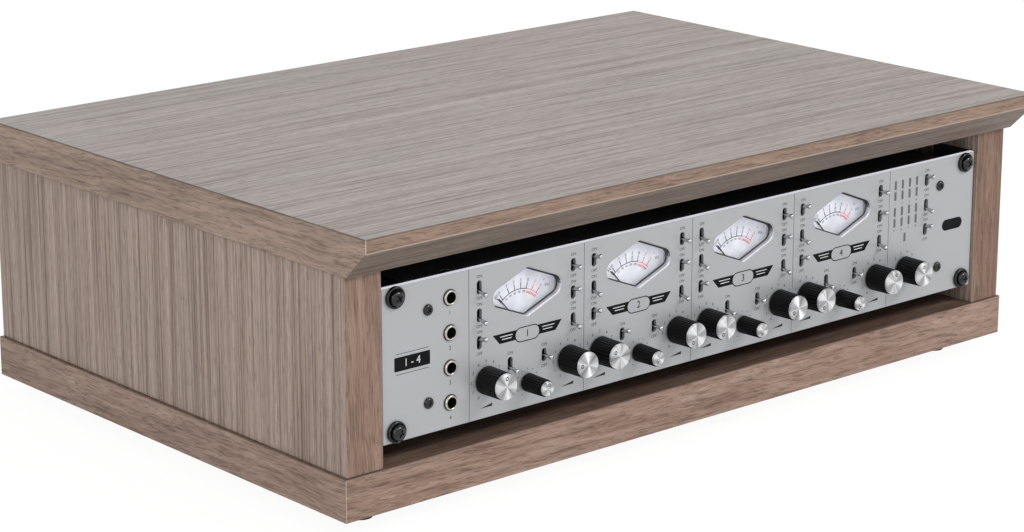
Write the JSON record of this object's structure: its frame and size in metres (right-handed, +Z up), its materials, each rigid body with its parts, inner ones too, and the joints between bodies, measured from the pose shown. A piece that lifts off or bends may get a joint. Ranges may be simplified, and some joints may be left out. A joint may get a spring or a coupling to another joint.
{
  "type": "studio rack stand",
  "caption": "Desktop oak rack case with a bevelled top and open ends, holding a rack-mount microphone preamplifier with knobs, toggle switches, needle meters and front sockets.",
  "frame": {"origin": "on the floor under the middle of the case's outer box, at the underside of the feet", "axes": "+X to the right seen from the front, +Y to the back, +Z up"},
  "size_m": [0.54, 0.37, 0.174],
  "materials": {
    "oak_board": "oak-faced board, matt",
    "dowel_wood": "plain beech",
    "zinc_steel": "zinc plated",
    "black_steel": "black powder coat",
    "black_rubber": "matt rubber",
    "black_screw": "glossy black",
    "black_washer": "glossy black",
    "brushed_plate": "brushed and anodised, light silver grey",
    "black_moulding": "moulded black",
    "dial_card": "printed card",
    "clear_window": "clear acrylic",
    "nickel": "polished nickel",
    "circuit_board": "green solder mask",
    "winding_tape": "amber winding tape",
    "tube_glass": "clear glass",
    "light_pipe": "smoked acrylic",
    "knob_black": "black grip with a spun metal cap",
    "needle_black": "black pointer"
  },
  "bodies": {
    "stand": {"top_panel": "oak_board", "base_panel": "oak_board", "left_side_panel": "oak_board", "right_side_panel": "oak_board", "panel_dowels": "dowel_wood", "panel_screws": "zinc_steel", "left_rack_rail": "black_steel", "right_rack_rail": "black_steel", "wood_screws": "zinc_steel", "rubber_feet": "black_rubber", "rack_screws": "black_screw", "cup_washers": "black_washer", "front_plate": "brushed_plate", "chassis_tray": "black_steel", "rear_panel": "black_steel", "chassis_cover": "black_steel", "chassis_screws": "black_screw", "meter_housings": "black_moulding", "meter_dials": "dial_card", "meter_lenses": "clear_window", "jack_sockets": "black_moulding", "jack_rings": "nickel", "toggle_switches": "black_moulding", "potentiometers": "zinc_steel", "circuit_boards": "circuit_board", "power_transformer": "winding_tape", "vacuum_tubes": "tube_glass", "rear_sockets": "black_moulding", "power_inlet": "black_moulding", "led_light_pipes": "light_pipe"},
    "gain_knob_1": {"gain_knob_1": "knob_black"},
    "blend_knob_1": {"blend_knob_1": "knob_black"},
    "level_knob_1": {"level_knob_1": "knob_black"},
    "gain_knob_2": {"gain_knob_2": "knob_black"},
    "blend_knob_2": {"blend_knob_2": "knob_black"},
    "level_knob_2": {"level_knob_2": "knob_black"},
    "gain_knob_3": {"gain_knob_3": "knob_black"},
    "blend_knob_3": {"blend_knob_3": "knob_black"},
    "level_knob_3": {"level_knob_3": "knob_black"},
    "gain_knob_4": {"gain_knob_4": "knob_black"},
    "blend_knob_4": {"blend_knob_4": "knob_black"},
    "level_knob_4": {"level_knob_4": "knob_black"},
    "clock_knob": {"clock_knob": "knob_black"},
    "meter_needle_1": {"meter_needle_1": "needle_black"},
    "meter_needle_2": {"meter_needle_2": "needle_black"},
    "meter_needle_3": {"meter_needle_3": "needle_black"},
    "meter_needle_4": {"meter_needle_4": "needle_black"},
    "phantom_levers_up": {"phantom_levers_up": "nickel"},
    "phantom_levers_down": {"phantom_levers_down": "nickel"},
    "pad_levers": {"pad_levers": "nickel"},
    "input_levers": {"input_levers": "nickel"},
    "meter_levers": {"meter_levers": "nickel"},
    "filter_levers": {"filter_levers": "nickel"},
    "phase_levers": {"phase_levers": "nickel"},
    "insert_lever_up": {"insert_lever_up": "nickel"},
    "insert_levers_down": {"insert_levers_down": "nickel"},
    "speed_levers": {"speed_levers": "nickel"},
    "power_lever": {"power_lever": "nickel"},
    "sync_lever": {"sync_lever": "nickel"},
    "converter_lever": {"converter_lever": "nickel"}
  },
  "joints": [
    {"name": "gain_turn_1", "type": "hinge", "parent": "stand", "child": "gain_knob_1", "pos_m": [-0.16798, -0.162, 0.0705], "axis": [0, 1, 0], "range_deg": [-150, 150]},
    {"name": "blend_turn_1", "type": "hinge", "parent": "stand", "child": "blend_knob_1", "pos_m": [-0.13748, -0.162, 0.0628], "axis": [0, 1, 0], "range_deg": [-163, 137]},
    {"name": "level_turn_1", "type": "hinge", "parent": "stand", "child": "level_knob_1", "pos_m": [-0.10698, -0.162, 0.0705], "axis": [0, 1, 0], "range_deg": [-60, 240]},
    {"name": "gain_turn_2", "type": "hinge", "parent": "stand", "child": "gain_knob_2", "pos_m": [-0.08232, -0.162, 0.0705], "axis": [0, 1, 0], "range_deg": [-97, 203]},
    {"name": "blend_turn_2", "type": "hinge", "parent": "stand", "child": "blend_knob_2", "pos_m": [-0.05183, -0.162, 0.0628], "axis": [0, 1, 0], "range_deg": [0, 300]},
    {"name": "level_turn_2", "type": "hinge", "parent": "stand", "child": "level_knob_2", "pos_m": [-0.02133, -0.162, 0.0705], "axis": [0, 1, 0], "range_deg": [-11, 289]},
    {"name": "gain_turn_3", "type": "hinge", "parent": "stand", "child": "gain_knob_3", "pos_m": [0.00332, -0.162, 0.0705], "axis": [0, 1, 0], "range_deg": [-10, 290]},
    {"name": "blend_turn_3", "type": "hinge", "parent": "stand", "child": "blend_knob_3", "pos_m": [0.03383, -0.162, 0.0628], "axis": [0, 1, 0], "range_deg": [0, 300]},
    {"name": "level_turn_3", "type": "hinge", "parent": "stand", "child": "level_knob_3", "pos_m": [0.06432, -0.162, 0.0705], "axis": [0, 1, 0], "range_deg": [-34, 266]},
    {"name": "gain_turn_4", "type": "hinge", "parent": "stand", "child": "gain_knob_4", "pos_m": [0.08897, -0.162, 0.0705], "axis": [0, 1, 0], "range_deg": [-3, 297]},
    {"name": "blend_turn_4", "type": "hinge", "parent": "stand", "child": "blend_knob_4", "pos_m": [0.11947, -0.162, 0.0628], "axis": [0, 1, 0], "range_deg": [0, 300]},
    {"name": "level_turn_4", "type": "hinge", "parent": "stand", "child": "level_knob_4", "pos_m": [0.14997, -0.162, 0.0705], "axis": [0, 1, 0], "range_deg": [-168, 132]},
    {"name": "clock_turn", "type": "hinge", "parent": "stand", "child": "clock_knob", "pos_m": [0.1777, -0.162, 0.0705], "axis": [0, 1, 0], "range_deg": [-64, 86]},
    {"name": "meter_swing_1", "type": "hinge", "parent": "stand", "child": "meter_needle_1", "pos_m": [-0.13748, -0.154, 0.096], "axis": [0, 1, 0], "range_deg": [0, 84], "stiffness_Nm_per_rad": 0.0005},
    {"name": "meter_swing_2", "type": "hinge", "parent": "stand", "child": "meter_needle_2", "pos_m": [-0.05183, -0.154, 0.096], "axis": [0, 1, 0], "range_deg": [0, 84], "stiffness_Nm_per_rad": 0.0005},
    {"name": "meter_swing_3", "type": "hinge", "parent": "stand", "child": "meter_needle_3", "pos_m": [0.03383, -0.154, 0.096], "axis": [0, 1, 0], "range_deg": [0, 84], "stiffness_Nm_per_rad": 0.0005},
    {"name": "meter_swing_4", "type": "hinge", "parent": "stand", "child": "meter_needle_4", "pos_m": [0.11947, -0.154, 0.096], "axis": [0, 1, 0], "range_deg": [0, 84], "stiffness_Nm_per_rad": 0.0005},
    {"name": "phantom_levers_up_tilt", "type": "hinge", "parent": "stand", "child": "phantom_levers_up", "pos_m": [-0.08703, -0.153, 0.1248], "axis": [-1, 0, 0], "range_deg": [-25, 0]},
    {"name": "phantom_levers_down_tilt", "type": "hinge", "parent": "stand", "child": "phantom_levers_down", "pos_m": [-0.17267, -0.153, 0.1248], "axis": [-1, 0, 0], "range_deg": [0, 25]},
    {"name": "pad_levers_tilt", "type": "hinge", "parent": "stand", "child": "pad_levers", "pos_m": [-0.17267, -0.153, 0.1087], "axis": [-1, 0, 0], "range_deg": [0, 25]},
    {"name": "input_levers_tilt", "type": "hinge", "parent": "stand", "child": "input_levers", "pos_m": [-0.17267, -0.153, 0.0928], "axis": [-1, 0, 0], "range_deg": [-25, 0]},
    {"name": "meter_levers_tilt", "type": "hinge", "parent": "stand", "child": "meter_levers", "pos_m": [-0.10287, -0.153, 0.1248], "axis": [-1, 0, 0], "range_deg": [-12.5, 12.5]},
    {"name": "filter_levers_tilt", "type": "hinge", "parent": "stand", "child": "filter_levers", "pos_m": [-0.10287, -0.153, 0.1087], "axis": [-1, 0, 0], "range_deg": [-25, 0]},
    {"name": "phase_levers_tilt", "type": "hinge", "parent": "stand", "child": "phase_levers", "pos_m": [-0.10287, -0.153, 0.0928], "axis": [-1, 0, 0], "range_deg": [0, 25]},
    {"name": "insert_lever_up_tilt", "type": "hinge", "parent": "stand", "child": "insert_lever_up", "pos_m": [-0.06452, -0.153, 0.0761], "axis": [-1, 0, 0], "range_deg": [-25, 0]},
    {"name": "insert_levers_down_tilt", "type": "hinge", "parent": "stand", "child": "insert_levers_down", "pos_m": [-0.15018, -0.153, 0.0761], "axis": [-1, 0, 0], "range_deg": [0, 25]},
    {"name": "speed_levers_tilt", "type": "hinge", "parent": "stand", "child": "speed_levers", "pos_m": [-0.12477, -0.153, 0.0761], "axis": [-1, 0, 0], "range_deg": [-12.5, 12.5]},
    {"name": "power_lever_tilt", "type": "hinge", "parent": "stand", "child": "power_lever", "pos_m": [0.197, -0.153, 0.1248], "axis": [-1, 0, 0], "range_deg": [-25, 0]},
    {"name": "sync_lever_tilt", "type": "hinge", "parent": "stand", "child": "sync_lever", "pos_m": [0.197, -0.153, 0.1087], "axis": [-1, 0, 0], "range_deg": [0, 25]},
    {"name": "converter_lever_tilt", "type": "hinge", "parent": "stand", "child": "converter_lever", "pos_m": [0.197, -0.153, 0.0928], "axis": [-1, 0, 0], "range_deg": [-25, 0]}
  ]
}
